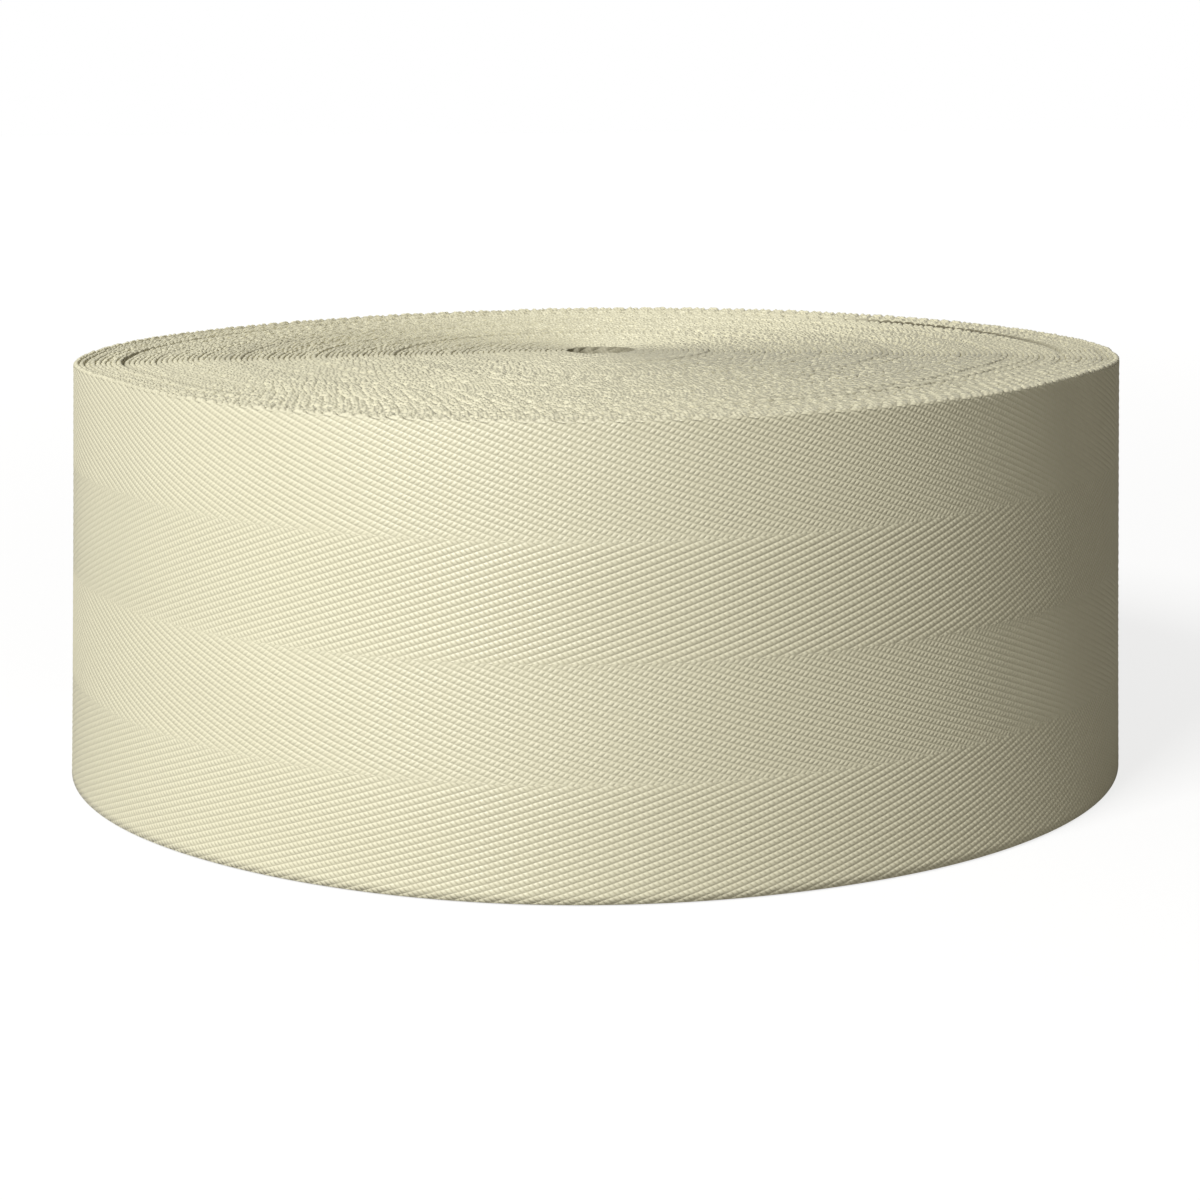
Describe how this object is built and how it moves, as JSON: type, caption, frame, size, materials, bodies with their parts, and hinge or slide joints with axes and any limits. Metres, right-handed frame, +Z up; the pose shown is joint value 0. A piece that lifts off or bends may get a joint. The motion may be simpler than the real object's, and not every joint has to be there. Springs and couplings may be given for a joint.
{
  "type": "roll of twill webbing",
  "caption": "Roll of ivory herringbone twill webbing: one flat strip wound tightly round a small open spindle hole, lying on its side.",
  "frame": {"origin": "on the floor, under the middle of the roll's outline", "axes": "+Z up along the roll's axis and across the webbing's width, +Y towards the back, where the tail of the strip ends, and the picture looks along +Y"},
  "size_m": [0.1302, 0.131, 0.0502],
  "materials": {
    "webbing": "matte undyed ivory yarn in herringbone twill"
  },
  "bodies": {
    "root": {"webbing_roll": "webbing"}
  },
  "joints": []
}
